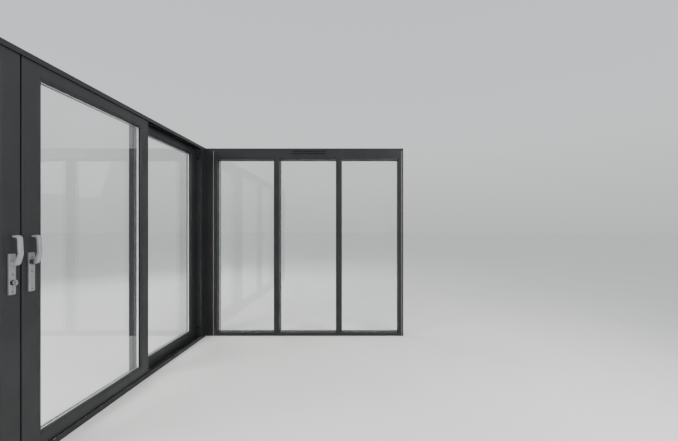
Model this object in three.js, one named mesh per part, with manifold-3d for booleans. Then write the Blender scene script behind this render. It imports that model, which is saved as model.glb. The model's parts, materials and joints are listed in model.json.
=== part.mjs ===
// Glazed corner of a houseboat saloon, in millimetres, +Z up.
// A side screen of four tall panels (two sliding leaves on the room side, two fixed panels
// outside them) meets an end screen of three fixed lights at a corner post.
// +X runs from the side screen into the room, +Y from the open end of the side screen to the
// end screen. The origin is the centre of the footprint, on the floor.
import * as THREE from 'three';
import { mergeVertices } from 'three/addons/utils/BufferGeometryUtils.js';
import Module from 'manifold-3d';

const wasm = await Module();
wasm.setup();

// Driving dimensions
const HEIGHT = 2130;            // whole frame
const CEILING_LINE = 2100;      // lowest edge of the head track, where a ceiling meets it
const SILL_TOP = 36;            // room-side edge of both sills
const FIT = 0.3;                // assembly gap between pieces that rest on each other
const OVERRUN = 1;              // how far a cut runs past the surface that it opens
const MERGE = 1e-4;             // corners closer than this are one
const SIDES = { shaft: 24, hole: 12 };    // of a round shape
const ARC_STEPS = { lever: 6, corner: 4 };

// Side screen
const LEAF_WIDTH = 970;         // each sliding leaf, stile edge to stile edge
const PANEL_WIDTH = 935;        // each fixed panel
const INTERLOCK_LAP = 71;       // how far a closed leaf and its fixed panel overlap
const SASH_DEPTH = 54;
const MEETING_GAP = 7;          // between the two sliding leaves
const LOCK_STILE = 100;
const INTERLOCK_STILE = 90;     // where a leaf and a fixed panel lie one behind the other
const JAMB_STILE = 90;
const RAIL = 82;                // visible height of the top and bottom rails
const SIDE_JAMB = 66;
const SIDE_DEPTH = 134;
const LEAF_SETBACK = 10;        // frame face to the leaf's room-side face
const PLANE_GAP = 8;            // between the leaf's back and the fixed panel's face

// Head and sill of the side screen: a web with two flanges and one guide fin per track
const WEB = 14;
const SILL_WEB = 10;
const INNER_FLANGE = 4;
const FIN = 8;
const SILL_FIN_TOP = 30;
const HEAD_FIN_BOTTOM = 2096;
const GROOVE = { width: 20, depth: 22 };
const LEAF_BOTTOM = 24;
const LEAF_TOP = 2108;
const SILL_OUTER_LIP = 28;

// End screen
const LIGHT_WIDTH = 642;        // clear width of each of the three lights
const MULLION = 64;
const END_JAMB = 60;
const END_DEPTH = 100;
const END_HEAD_LINE = 2004;     // top of the clear glass
const END_SETBACK = 37;         // far jamb of the side screen to the end screen's room face
const POST_FACE = 67;           // corner post seen from the room

// Double glazing: rebate in every bar
const REBATE = 12;              // how far the glass goes into the bar
const POCKET = 30;              // glass with its gaskets
const SIDE_BEAD = 15;           // bar face to the pocket, sliding and fixed sashes
const END_BEAD = 55;            // the same, end screen
const EDGE = 1.5;               // chamfer on a bar's visible edges
const BEAD = { width: 16, slope: 2.5 };   // glazing bead, and how far its face falls to the glass
const OUTER_LEG = 18;           // end screen's jambs: outer edge to the seam on their face
const SEAM = { width: 3, depth: 2 };      // shallow V where two profiles meet

// Handles, each set on a lock stile
const SPINDLE_Z = 1041;
const HANDLE_OFFSET = 43.5;     // stile's meeting edge to the middle of the plate
const PLATE = { width: 31, thickness: 10, bottom: 889, top: 1092, radius: 4 };
const BOSS = { width: 29, bottom: 1050, top: 1090, thickness: 5 };
const LEVER = {
  width: 18, neck: 17,
  elbow: { low: 41, high: 30 },           // out from the stile, at the neck's lower and upper edge
  knee: { outer: 60, inner: 47.5, outerRise: 51, innerRise: 44 },
  bend: { outer: 20, inner: 7, out: 35.5, rise: 121 },
  tip: { out: 18, thickness: 9 },
};
const THUMBTURN = { z: 949, stem: 8, reach: 14, gripOut: 19.5, gripWide: 9.7, gripTall: 14, thick: 9 };
const KEY = { radius: 8.5, proud: 2 };
const PULL = { width: 40, height: 160, depth: 13, wall: 2, proud: 2, middleZ: 1085 };
const LOCK_PLATE = { width: 20, depth: 2.3, bottom: 350, top: 1800 };

// Drainage slots in the side sill's outer upstand, and fixing holes through sill and head
const DRAIN = { length: 32, height: 6, rise: 1, pitch: 520 };
const FIXING = { radius: 3.5, pitch: 700 };

// Channels for packers and anchors in the faces that meet a wall, ceiling or floor, and the
// sunk ends of the post and end jambs, where their plugs sit
const CHANNEL = { depth: 4, rib: 26, edge: 20 };
const CHAMBER = { depth: 12, wall: 4 };

// Trickle vent over the middle light, a little right of its middle
const VENT = { length: 376, height: 30, depth: 14, back: 3, bar: 16, cap: 5, offset: 16 };
const CANOPY = { length: 400, height: 26, depth: 16, wall: 2.5, fall: 8 };

// Places that follow from the sizes
const END_WIDTH = 3 * LIGHT_WIDTH + 2 * MULLION + 2 * END_JAMB;
const SIDE_OPENING = 2 * (LEAF_WIDTH + PANEL_WIDTH - INTERLOCK_LAP) + MEETING_GAP;
const SIDE_LENGTH = SIDE_OPENING + 2 * SIDE_JAMB;
const TOTAL_X = SIDE_DEPTH + POST_FACE + END_WIDTH;
const TOTAL_Y = SIDE_LENGTH + END_SETBACK + END_DEPTH + CANOPY.depth;
const OUTER_X = -TOTAL_X / 2;                     // outer face of the side screen
const FRAME_FACE_X = OUTER_X + SIDE_DEPTH;
const LEAF_FACE_X = FRAME_FACE_X - LEAF_SETBACK;
const PANEL_FACE_X = LEAF_FACE_X - SASH_DEPTH - PLANE_GAP;
const SIDE_Y0 = -TOTAL_Y / 2;
const SIDE_Y1 = SIDE_Y0 + SIDE_LENGTH;
const OPENING_Y0 = SIDE_Y0 + SIDE_JAMB;
const OPENING_Y1 = SIDE_Y1 - SIDE_JAMB;
const MEETING_Y = (OPENING_Y0 + OPENING_Y1) / 2;
const END_FACE_Y = SIDE_Y1 + END_SETBACK;
const OUTER_Y = END_FACE_Y + END_DEPTH;
const POST_X1 = FRAME_FACE_X + POST_FACE;
const END_X1 = TOTAL_X / 2;

const X = new THREE.Vector3(1, 0, 0);
const Y = new THREE.Vector3(0, 1, 0);
const Z = new THREE.Vector3(0, 0, 1);
const minus = (axis) => axis.clone().negate();

const colours = {
  frame: { color: 0x3e4042, roughness: 0.45, metalness: 0.3 },
  sash: { color: 0x424446, roughness: 0.45, metalness: 0.3 },
  glass: { color: 0xbfd2d0, roughness: 0.05, metalness: 0, transparent: true, opacity: 0.35 },
  satin: { color: 0xb4b6b8, roughness: 0.35, metalness: 0.8 },
  vent: { color: 0x36383a, roughness: 0.5, metalness: 0.2 },
};

const group = new THREE.Group();

function add(name, geometry, finish) {
  const mesh = new THREE.Mesh(geometry, new THREE.MeshStandardMaterial(colours[finish]));
  mesh.name = name;
  group.add(mesh);
}

// A straight bar: a section drawn in (u, v) and run between two places along the third axis.
function bar(section, origin, u, v, from, to) {
  const w = new THREE.Vector3().crossVectors(u, v);
  const forward = w.x + w.y + w.z > 0;
  const shape = new THREE.Shape(section.map(([a, b]) => new THREE.Vector2(a, b)));
  const geometry = new THREE.ExtrudeGeometry(shape, { depth: to - from, bevelEnabled: false });
  const start = forward ? from : -to;
  const at = origin.clone().addScaledVector(w, start);
  geometry.applyMatrix4(new THREE.Matrix4().makeBasis(u, v, w).setPosition(at));
  return geometry;
}

function box(x0, x1, y0, y1, z0, z1) {
  const geometry = new THREE.BoxGeometry(x1 - x0, y1 - y0, z1 - z0);
  return geometry.translate((x0 + x1) / 2, (y0 + y1) / 2, (z0 + z1) / 2);
}

function rod(radius, axis, at, length, sides = SIDES.shaft) {
  const geometry = new THREE.CylinderGeometry(radius, radius, length, sides);
  geometry.applyQuaternion(new THREE.Quaternion().setFromUnitVectors(Y, axis));
  return geometry.translate(at.x, at.y, at.z);
}

// Joining and cutting of closed shapes
function solid(geometry) {
  const bare = geometry.clone();
  bare.deleteAttribute('normal');
  bare.deleteAttribute('uv');
  const merged = mergeVertices(bare, MERGE);
  return new wasm.Manifold(new wasm.Mesh({
    numProp: 3,
    vertProperties: new Float32Array(merged.attributes.position.array),
    triVerts: new Uint32Array(merged.index.array),
  }));
}

function surface(manifold) {
  const mesh = manifold.getMesh();
  const geometry = new THREE.BufferGeometry();
  geometry.setAttribute('position', new THREE.BufferAttribute(mesh.vertProperties, 3));
  geometry.setIndex(new THREE.BufferAttribute(mesh.triVerts, 1));
  return geometry;
}

const cut = (body, ...tools) =>
  surface(tools.reduce((left, tool) => left.subtract(solid(tool)), solid(body)));
const join = (body, ...more) =>
  surface(more.reduce((left, piece) => left.add(solid(piece)), solid(body)));

// The two channels across a bar's hidden face, as steps of a section: places along the face,
// in rising order, with whether the section has dropped into a channel after each.
function channelSteps(from, to) {
  const middle = (from + to) / 2;
  return [
    [from + CHANNEL.edge, true], [middle - CHANNEL.rib / 2, false],
    [middle + CHANNEL.rib / 2, true], [to - CHANNEL.edge, false],
  ];
}

// Sections have u from a bar's outer edge to the glass, and v back from its face.

// Face of a glazing bead: from its seam it slopes back to the glass.
function beadFace(width) {
  const seam = width - BEAD.width;
  return [
    [seam - SEAM.width / 2, 0], [seam, SEAM.depth], [seam + SEAM.width / 2, SEAM.depth / 4],
    [width - EDGE, BEAD.slope], [width, BEAD.slope + EDGE],
  ];
}

// What the bead takes off a flat face. On an upright it is only as long as the glass.
function beadCut(width) {
  const front = -OVERRUN;
  const side = width + OVERRUN;
  return [...beadFace(width), [side, BEAD.slope + EDGE], [side, front],
    [width - BEAD.width - SEAM.width / 2, front]];
}

// A sash or frame bar, with the rebate behind its glass edge. An upright bar has a flat face,
// for the bead to be cut in. A bar with glass on both sides has a bead and rebate at each edge.
function glazingSection(width, depth, bead,
  { leg = 0, bothSides = false, wall = false, upright = false } = {}) {
  const glassSide = [
    ...(upright ? [[width, 0]] : beadFace(width)), [width, bead],
    [width - REBATE, bead], [width - REBATE, bead + POCKET],
    [width, bead + POCKET], [width, depth - EDGE], [width - EDGE, depth],
  ];
  const channels = wall
    ? channelSteps(0, depth).flatMap(([v, inside]) => (inside
      ? [[0, v], [CHANNEL.depth, v]]
      : [[CHANNEL.depth, v], [0, v]])).reverse()
    : [];
  const otherSide = bothSides
    ? glassSide.map(([u, v]) => [width - u, v]).reverse()
    : [[EDGE, depth], [0, depth - EDGE], ...channels, [0, EDGE], [EDGE, 0]];
  const legSeam = leg
    ? [[leg - SEAM.width / 2, 0], [leg, SEAM.depth], [leg + SEAM.width / 2, 0]]
    : [];
  return [...glassSide, ...otherSide, ...legSeam];
}

const sashSection = (width, options) => glazingSection(width, SASH_DEPTH, SIDE_BEAD, options);

// Side screen: the outer frame

const leafMiddleX = LEAF_FACE_X - SASH_DEPTH / 2;
const panelMiddleX = PANEL_FACE_X - SASH_DEPTH / 2;
const outerFlangeX = PANEL_FACE_X - SASH_DEPTH - FIT;
const fins = [leafMiddleX, panelMiddleX];

// Track section, u away from the wall side (+X) and v up, as steps across the depth.
function trackOutline(web0, web1, finEnd, innerEnd, outerEnd) {
  const steps = [[OUTER_X, outerEnd], [outerFlangeX, web1]];
  for (const middle of [...fins].reverse()) {
    steps.push([middle - FIN / 2, finEnd], [middle + FIN / 2, web1]);
  }
  steps.push([FRAME_FACE_X - INNER_FLANGE, innerEnd]);
  const points = [[OUTER_X, web0]];
  let previous = web0;
  for (const [x, level] of steps) {
    if (x !== OUTER_X) points.push([x, previous]);
    points.push([x, level]);
    previous = level;
  }
  points.push([FRAME_FACE_X, previous], [FRAME_FACE_X, web0]);
  const into = web0 + Math.sign(web1 - web0) * CHANNEL.depth;
  for (const [x, inside] of channelSteps(OUTER_X, FRAME_FACE_X).reverse()) {
    points.push(...(inside ? [[x, into], [x, web0]] : [[x, web0], [x, into]]));
  }
  return points;
}

const track = (outline) => bar(outline, new THREE.Vector3(), X, Z, SIDE_Y0, SIDE_Y1);

// Places spread evenly about the middle of the opening, no closer to its jambs than half a pitch
function spread(pitch) {
  const count = Math.floor(SIDE_OPENING / pitch);
  return Array.from({ length: count }, (_, n) => MEETING_Y + (n - (count - 1) / 2) * pitch);
}

const sillOutline = trackOutline(0, SILL_WEB, SILL_FIN_TOP, SILL_TOP, SILL_OUTER_LIP);
const headOutline = trackOutline(HEIGHT, HEIGHT - WEB, HEAD_FIN_BOTTOM, CEILING_LINE,
  CEILING_LINE);
const fixingX = (leafMiddleX + panelMiddleX) / 2;
const fixingHoles = (web0, web1) => spread(FIXING.pitch).map((y) => rod(FIXING.radius, Z,
  new THREE.Vector3(fixingX, y, (web0 + web1) / 2), web1 - web0 + 2 * OVERRUN, SIDES.hole));
const drainZ = SILL_WEB + DRAIN.rise;
const drainSlots = spread(DRAIN.pitch).map((y) => box(OUTER_X - OVERRUN, outerFlangeX + OVERRUN,
  y - DRAIN.length / 2, y + DRAIN.length / 2, drainZ, drainZ + DRAIN.height));
add('side_sill', cut(track(sillOutline), ...drainSlots, ...fixingHoles(0, SILL_WEB)), 'frame');
add('side_head', cut(track(headOutline), ...fixingHoles(HEIGHT - WEB, HEIGHT)), 'frame');

// The jambs stand on the sill's web between its flanges, under the head's web.
function sideJamb(name, y0, y1, wall) {
  const post = box(outerFlangeX, FRAME_FACE_X - INNER_FLANGE - FIT, y0 + FIT, y1 - FIT,
    SILL_WEB + FIT, HEIGHT - WEB - FIT);
  const faces = [
    box(OUTER_X, outerFlangeX + OVERRUN, y0 + FIT, y1 - FIT,
      SILL_OUTER_LIP + FIT, CEILING_LINE - FIT),
    box(FRAME_FACE_X - INNER_FLANGE - FIT - OVERRUN, FRAME_FACE_X, y0 + FIT, y1 - FIT,
      SILL_TOP + FIT, CEILING_LINE - FIT),
  ];
  const grooves = fins.flatMap((middle) => [
    box(middle - FIN / 2 - FIT, middle + FIN / 2 + FIT, y0 - OVERRUN, y1 + OVERRUN,
      0, SILL_FIN_TOP + FIT),
    box(middle - FIN / 2 - FIT, middle + FIN / 2 + FIT, y0 - OVERRUN, y1 + OVERRUN,
      HEAD_FIN_BOTTOM - FIT, HEIGHT),
  ]);
  const steps = channelSteps(OUTER_X, FRAME_FACE_X).map(([x]) => x);
  const channels = [[steps[0], steps[1]], [steps[2], steps[3]]].map(([x0, x1]) =>
    box(x0, x1, y0 - OVERRUN, y0 + FIT + CHANNEL.depth, 0, HEIGHT));
  add(name, cut(join(post, ...faces), ...grooves, ...(wall ? channels : [])), 'frame');
}
sideJamb('side_near_jamb', SIDE_Y0, OPENING_Y0, true);
sideJamb('side_far_jamb', OPENING_Y1, SIDE_Y1, false);

// Side screen: the four sashes. Each has two stiles, two rails and its glass.

function sash(sashName, s) {
  const grooveX = [s.faceX - SASH_DEPTH / 2 - GROOVE.width / 2,
    s.faceX - SASH_DEPTH / 2 + GROOVE.width / 2];
  const grooves = [
    box(...grooveX, s.y0 - OVERRUN, s.y1 + OVERRUN, s.bottom - OVERRUN, s.bottom + GROOVE.depth),
    box(...grooveX, s.y0 - OVERRUN, s.y1 + OVERRUN, s.top - GROOVE.depth, s.top + OVERRUN),
  ];
  const clearZ = [SILL_TOP + RAIL, CEILING_LINE - RAIL];
  const clearY = [s.y0 + s.lowStile.width, s.y1 - s.highStile.width];
  const stiles = [
    { ...s.lowStile, edge: s.y0, across: Y },
    { ...s.highStile, edge: s.y1, across: minus(Y) },
  ];
  for (const stile of stiles) {
    const origin = new THREE.Vector3(s.faceX, stile.edge, 0);
    const section = sashSection(stile.width, { upright: true });
    const body = bar(section, origin, stile.across, minus(X), s.bottom, s.top);
    const bead = bar(beadCut(stile.width), origin, stile.across, minus(X),
      clearZ[0] - BEAD.width, clearZ[1] + BEAD.width);
    add(`${sashName}_${stile.name}`, cut(body, bead, ...grooves, ...(stile.cuts || [])), 'sash');
  }
  const rails = [
    { name: 'bottom_rail', edge: s.bottom, height: clearZ[0] - s.bottom, across: Z },
    { name: 'top_rail', edge: s.top, height: s.top - clearZ[1], across: minus(Z) },
  ];
  for (const rail of rails) {
    const origin = new THREE.Vector3(s.faceX, 0, rail.edge);
    const section = sashSection(rail.height);
    const body = bar(section, origin, rail.across, minus(X), clearY[0] + FIT, clearY[1] - FIT);
    add(`${sashName}_${rail.name}`, cut(body, ...grooves), 'sash');
  }
  const hold = REBATE - FIT;
  const pocketX = s.faceX - SIDE_BEAD;
  add(`${sashName}_glass`, box(pocketX - POCKET + FIT, pocketX - FIT,
    clearY[0] - hold, clearY[1] + hold, clearZ[0] - hold, clearZ[1] + hold), 'glass');
}

const leafAY1 = MEETING_Y - MEETING_GAP / 2;
const leafBY0 = MEETING_Y + MEETING_GAP / 2;
const handleY = { leaf_a: leafAY1 - HANDLE_OFFSET, leaf_b: leafBY0 + HANDLE_OFFSET };
const leafBackX = LEAF_FACE_X - SASH_DEPTH;

// Finger recess in the outside of leaf A's lock stile, and the shallow recesses in both
// meeting edges for the lock's face plate and its keep
function pullBox(outX, inX, shrink) {
  return box(leafBackX - outX, leafBackX + inX,
    handleY.leaf_a - PULL.width / 2 + shrink, handleY.leaf_a + PULL.width / 2 - shrink,
    PULL.middleZ - PULL.height / 2 + shrink, PULL.middleZ + PULL.height / 2 - shrink);
}
function edgePlate(y0, y1, shrink) {
  const middle = LEAF_FACE_X - SASH_DEPTH / 2;
  return box(middle - LOCK_PLATE.width / 2 + shrink, middle + LOCK_PLATE.width / 2 - shrink,
    y0, y1, LOCK_PLATE.bottom + shrink, LOCK_PLATE.top - shrink);
}
const pullCut = pullBox(OVERRUN, PULL.depth, 0);
const lockCut = edgePlate(leafAY1 - LOCK_PLATE.depth, leafAY1 + OVERRUN, 0);
const keepCut = edgePlate(leafBY0 - OVERRUN, leafBY0 + LOCK_PLATE.depth, 0);

const leafHeights = { bottom: LEAF_BOTTOM, top: LEAF_TOP };
const panelHeights = { bottom: SILL_WEB + FIT, top: HEIGHT - WEB - FIT };
const interlock = { name: 'interlock_stile', width: INTERLOCK_STILE };
const jambStile = { name: 'jamb_stile', width: JAMB_STILE };
sash('leaf_a', {
  ...leafHeights, faceX: LEAF_FACE_X, y0: leafAY1 - LEAF_WIDTH, y1: leafAY1,
  lowStile: interlock, highStile: { name: 'lock_stile', width: LOCK_STILE, cuts: [pullCut, lockCut] },
});
sash('leaf_b', {
  ...leafHeights, faceX: LEAF_FACE_X, y0: leafBY0, y1: leafBY0 + LEAF_WIDTH,
  lowStile: { name: 'lock_stile', width: LOCK_STILE, cuts: [keepCut] }, highStile: interlock,
});
sash('near_panel', {
  ...panelHeights, faceX: PANEL_FACE_X, y0: OPENING_Y0, y1: OPENING_Y0 + PANEL_WIDTH,
  lowStile: jambStile, highStile: interlock,
});
sash('far_panel', {
  ...panelHeights, faceX: PANEL_FACE_X, y0: OPENING_Y1 - PANEL_WIDTH, y1: OPENING_Y1,
  lowStile: interlock, highStile: jambStile,
});

// Handles on the two lock stiles: a long plate, and a lever that stands straight up

// Outline of a lever from the side, u out from the stile and v up from the spindle: a short
// neck, a slope, an upright grip that leans back, and an end that turns towards the stile.
function leverOutline() {
  const { neck, elbow, knee, bend, tip } = LEVER;
  const from = PLATE.thickness + FIT;
  const top = bend.rise + bend.outer;
  const outline = new THREE.Shape();
  outline.moveTo(from, -neck / 2);
  outline.lineTo(elbow.low, -neck / 2);
  outline.lineTo(knee.outer, knee.outerRise);
  outline.absarc(bend.out, bend.rise, bend.outer, 0, Math.PI / 2, false);
  outline.lineTo(tip.out, top);
  outline.lineTo(tip.out, top - tip.thickness);
  outline.absarc(bend.out, bend.rise, bend.inner, Math.PI / 2, 0, true);
  outline.lineTo(knee.inner, knee.innerRise);
  outline.lineTo(elbow.high, neck / 2);
  outline.lineTo(from, neck / 2);
  return outline.getPoints(ARC_STEPS.lever).map((p) => [p.x, p.y]);
}

function plateOutline(y) {
  const half = PLATE.width / 2;
  const { radius, bottom, top } = PLATE;
  const shape = new THREE.Shape();
  const corners = [
    [y + half - radius, bottom + radius, -Math.PI / 2],
    [y + half - radius, top - radius, 0],
    [y - half + radius, top - radius, Math.PI / 2],
    [y - half + radius, bottom + radius, Math.PI],
  ];
  for (const [cy, cz, start] of corners) {
    shape.absarc(cy, cz, radius, start, start + Math.PI / 2, false);
  }
  return shape.getPoints(ARC_STEPS.corner).map((p) => [p.x, p.y]);
}

for (const leaf of ['leaf_a', 'leaf_b']) {
  const y = handleY[leaf];
  const plateX = LEAF_FACE_X + PLATE.thickness;
  const boss = box(plateX - OVERRUN, plateX + BOSS.thickness,
    y - BOSS.width / 2, y + BOSS.width / 2, BOSS.bottom, BOSS.top);
  const plate = bar(plateOutline(y), new THREE.Vector3(), Y, Z, LEAF_FACE_X + FIT, plateX);
  add(`${leaf}_handle_plate`, join(plate, boss), 'satin');
  add(`${leaf}_lever`, bar(leverOutline(), new THREE.Vector3(LEAF_FACE_X, 0, SPINDLE_Z),
    X, Z, y - LEVER.width / 2, y + LEVER.width / 2), 'satin');
}

// Thumbturn on leaf A: a round stem with a flat oval grip
const turnX = LEAF_FACE_X + PLATE.thickness + FIT;
const turnAt = new THREE.Vector3(turnX, handleY.leaf_a, THUMBTURN.z);
const stem = rod(THUMBTURN.stem, X,
  turnAt.clone().addScaledVector(X, THUMBTURN.reach / 2), THUMBTURN.reach);
const grip = rod(1, Y, new THREE.Vector3(), THUMBTURN.thick)
  .scale(THUMBTURN.gripWide, 1, THUMBTURN.gripTall)
  .translate(turnX + THUMBTURN.gripOut, handleY.leaf_a, THUMBTURN.z);
add('leaf_a_thumbturn', join(stem, grip), 'satin');

// Outside of leaf A: a dished finger pull, and the key side of the cylinder
add('leaf_a_flush_pull', cut(pullBox(PULL.proud, PULL.depth - FIT, FIT),
  pullBox(PULL.proud + OVERRUN, PULL.depth - PULL.wall, PULL.wall)), 'satin');
add('leaf_a_key_cylinder', rod(KEY.radius, X,
  new THREE.Vector3(leafBackX - FIT - KEY.proud / 2, handleY.leaf_a, THUMBTURN.z), KEY.proud),
'satin');

// Face plate of the lock on leaf A, and its keep on leaf B, flush in the meeting edges
add('leaf_a_lock_plate',
  edgePlate(leafAY1 - LOCK_PLATE.depth + FIT, leafAY1, FIT), 'satin');
add('leaf_b_keep_plate',
  edgePlate(leafBY0, leafBY0 + LOCK_PLATE.depth - FIT, FIT), 'satin');

// Sunk ends of an upright: each chamber, given in plan, is cut in from above and below.
const sunkEnds = (...chambers) => chambers.flatMap(([x0, x1, y0, y1]) => [
  box(x0, x1, y0, y1, HEIGHT - CHAMBER.depth, HEIGHT + OVERRUN),
  box(x0, x1, y0, y1, -OVERRUN, CHAMBER.depth),
]);

// Corner post: an L that closes the angle between the two screens
const postOutline = [
  [OUTER_X, SIDE_Y1 + FIT], [FRAME_FACE_X, SIDE_Y1 + FIT], [FRAME_FACE_X, END_FACE_Y],
  [POST_X1 - FIT, END_FACE_Y], [POST_X1 - FIT, OUTER_Y - EDGE], [POST_X1 - FIT - EDGE, OUTER_Y],
  [OUTER_X + EDGE, OUTER_Y], [OUTER_X, OUTER_Y - EDGE],
];
const chamberY1 = OUTER_Y - CHAMBER.wall;
add('corner_post', cut(bar(postOutline, new THREE.Vector3(), X, Y, 0, HEIGHT), ...sunkEnds(
  [OUTER_X + CHAMBER.wall, FRAME_FACE_X - CHAMBER.wall, SIDE_Y1 + FIT + CHAMBER.wall, chamberY1],
  [FRAME_FACE_X, POST_X1 - FIT - CHAMBER.wall, END_FACE_Y + CHAMBER.wall, chamberY1],
)), 'frame');

// End screen: two jambs the full height, head and sill between them, and two mullions
const lightsX0 = POST_X1 + END_JAMB;
const lightsX1 = END_X1 - END_JAMB;

const beadY = END_FACE_Y + END_BEAD;
for (const [name, edge, across, wall] of [
  ['end_left_jamb', POST_X1, X, false],
  ['end_right_jamb', END_X1, minus(X), true],
]) {
  const options = { leg: OUTER_LEG, wall, upright: true };
  const section = glazingSection(END_JAMB, END_DEPTH, END_BEAD, options);
  const origin = new THREE.Vector3(edge, END_FACE_Y, 0);
  const body = bar(section, origin, across, Y, 0, HEIGHT);
  const bead = bar(beadCut(END_JAMB), origin, across, Y,
    SILL_TOP - BEAD.width, END_HEAD_LINE + BEAD.width);
  const reach = [CHANNEL.depth + CHAMBER.wall, END_JAMB - REBATE - CHAMBER.wall];
  const [x0, x1] = reach.map((u) => edge + across.x * u).sort((a, b) => a - b);
  add(name, cut(body, bead, ...sunkEnds(
    [x0, x1, END_FACE_Y + CHAMBER.wall, beadY - CHAMBER.wall],
    [x0, x1, beadY, chamberY1],
  )), 'frame');
}
for (const [name, edge, height, across] of [
  ['end_sill', 0, SILL_TOP, Z],
  ['end_head', HEIGHT, HEIGHT - END_HEAD_LINE, minus(Z)],
]) {
  const section = glazingSection(height, END_DEPTH, END_BEAD, { wall: true });
  add(name, bar(section, new THREE.Vector3(0, END_FACE_Y, edge), across, Y,
    lightsX0 + FIT, lightsX1 - FIT), 'frame');
}
for (const n of [1, 2]) {
  const section = glazingSection(MULLION, END_DEPTH, END_BEAD, { bothSides: true });
  const edge = lightsX0 + n * LIGHT_WIDTH + (n - 1) * MULLION;
  add(`end_mullion_${n}`, bar(section, new THREE.Vector3(edge, END_FACE_Y, 0), X, Y,
    SILL_TOP + FIT, END_HEAD_LINE - FIT), 'frame');
}
for (const n of [1, 2, 3]) {
  const x0 = lightsX0 + (n - 1) * (LIGHT_WIDTH + MULLION);
  const hold = REBATE - FIT;
  add(`end_glass_${n}`, box(x0 - hold, x0 + LIGHT_WIDTH + hold,
    END_FACE_Y + END_BEAD + FIT, END_FACE_Y + END_BEAD + POCKET - FIT,
    SILL_TOP - hold, END_HEAD_LINE + hold), 'glass');
}

// Trickle vent on the head over the middle light: a bar below an open slot, with end caps
const ventX = (lightsX0 + lightsX1) / 2 + VENT.offset;
const ventFace = END_FACE_Y - FIT;
const ventBody = box(ventX - VENT.length / 2, ventX + VENT.length / 2,
  ventFace - VENT.depth, ventFace, CEILING_LINE - VENT.height, CEILING_LINE);
const ventSlot = box(ventX - VENT.length / 2 + VENT.cap, ventX + VENT.length / 2 - VENT.cap,
  ventFace - VENT.depth - OVERRUN, ventFace - VENT.back,
  CEILING_LINE - VENT.height + VENT.bar, CEILING_LINE + OVERRUN);
add('trickle_vent', cut(ventBody, ventSlot), 'vent');

// Its canopy outside: a sloping cap, open below
const canopyOutline = [
  [FIT, 0], [FIT, -CANOPY.height], [CANOPY.wall, -CANOPY.height],
  [CANOPY.wall, -CANOPY.wall], [CANOPY.depth - CANOPY.wall, -CANOPY.fall],
  [CANOPY.depth - CANOPY.wall, -CANOPY.height],
  [CANOPY.depth, -CANOPY.height], [CANOPY.depth, CANOPY.wall - CANOPY.fall],
];
add('vent_canopy', bar(canopyOutline, new THREE.Vector3(0, OUTER_Y, CEILING_LINE), Y, Z,
  ventX - CANOPY.length / 2, ventX + CANOPY.length / 2), 'vent');

export default group;
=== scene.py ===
# Glazed corner of a houseboat saloon: the finishes, glass units, handles, locks, seals and
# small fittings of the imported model. Lengths are in millimetres until they reach Blender.
import json
import math
from types import SimpleNamespace as Sizes

import bpy
import bmesh
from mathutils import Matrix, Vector


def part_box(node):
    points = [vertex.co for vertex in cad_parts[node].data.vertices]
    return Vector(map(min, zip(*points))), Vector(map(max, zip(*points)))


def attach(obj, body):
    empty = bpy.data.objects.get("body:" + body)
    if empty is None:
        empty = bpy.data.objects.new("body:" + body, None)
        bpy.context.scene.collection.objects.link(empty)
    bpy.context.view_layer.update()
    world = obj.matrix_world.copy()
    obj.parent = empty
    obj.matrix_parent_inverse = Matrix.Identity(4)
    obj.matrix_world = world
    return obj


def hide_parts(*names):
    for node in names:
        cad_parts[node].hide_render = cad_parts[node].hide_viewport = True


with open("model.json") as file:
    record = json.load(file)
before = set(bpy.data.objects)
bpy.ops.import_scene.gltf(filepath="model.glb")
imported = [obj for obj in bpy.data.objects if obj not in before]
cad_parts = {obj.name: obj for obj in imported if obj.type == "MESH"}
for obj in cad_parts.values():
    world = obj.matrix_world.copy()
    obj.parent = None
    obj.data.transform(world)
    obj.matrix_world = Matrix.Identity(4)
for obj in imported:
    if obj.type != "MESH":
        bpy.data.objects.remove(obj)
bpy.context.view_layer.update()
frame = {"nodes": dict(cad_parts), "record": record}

MM = 0.001
FIT = 0.1                 # sheet of air between a fitting and what it is fixed to
END_GAP = 1               # from a long strip's end to what it runs up to
MERGE = 0.01              # points nearer than this are one point
SQUARE = 0.9              # cosine past which a direction counts as along an axis
SHARP = math.radians(35)  # edges past this angle are rounded
LEAVES = ("leaf_a", "leaf_b")


def extent(node_name):
    """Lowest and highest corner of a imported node, in mm."""
    low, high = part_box(node_name)
    return low / MM, high / MM


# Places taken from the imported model

LEAF_BACK, LEAF_FACE = [corner.x for corner in extent("leaf_a_lock_stile")]
LEAF_BOTTOM, LEAF_TOP = [corner.z for corner in extent("leaf_a_lock_stile")]
PANEL_FACE = extent("far_panel_jamb_stile")[1].x
OUTER_FACE = extent("side_head")[0].x
ROOM_FACE = extent("side_head")[1].x
INNER_FIN = (LEAF_FACE + LEAF_BACK) / 2
BETWEEN_TRACKS = (LEAF_BACK + PANEL_FACE) / 2
OPENING = (extent("side_near_jamb")[1].y, extent("side_far_jamb")[0].y)
JAMBS = (("near", OPENING[0], 1), ("far", OPENING[1], -1))      # name, place, way it faces
MEETING = (extent("leaf_a_lock_stile")[1].y, extent("leaf_b_lock_stile")[0].y)
OUTER_EDGES = (extent("leaf_a_interlock_stile")[0].y, extent("leaf_b_interlock_stile")[1].y)
END_FACE = extent("end_head")[0].y
TOP = extent("side_head")[1].z
VENT_LOW, VENT_HIGH = extent("trickle_vent")
CANOPY_LOW, CANOPY_HIGH = extent("vent_canopy")
CEILING_LINE = VENT_HIGH.z


# Camera: level, looking at the end screen, with the photograph's focal length and framing

PHOTO_WIDTH = 678
PHOTO_HEIGHT = 441
FOCAL_PIXELS = 310
VANISHING_PIXEL = (354.9, 229)
EYE = (637.5, -1656, 1214)
SENSOR = 36
NEAREST, FARTHEST = 20, 500000


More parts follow.
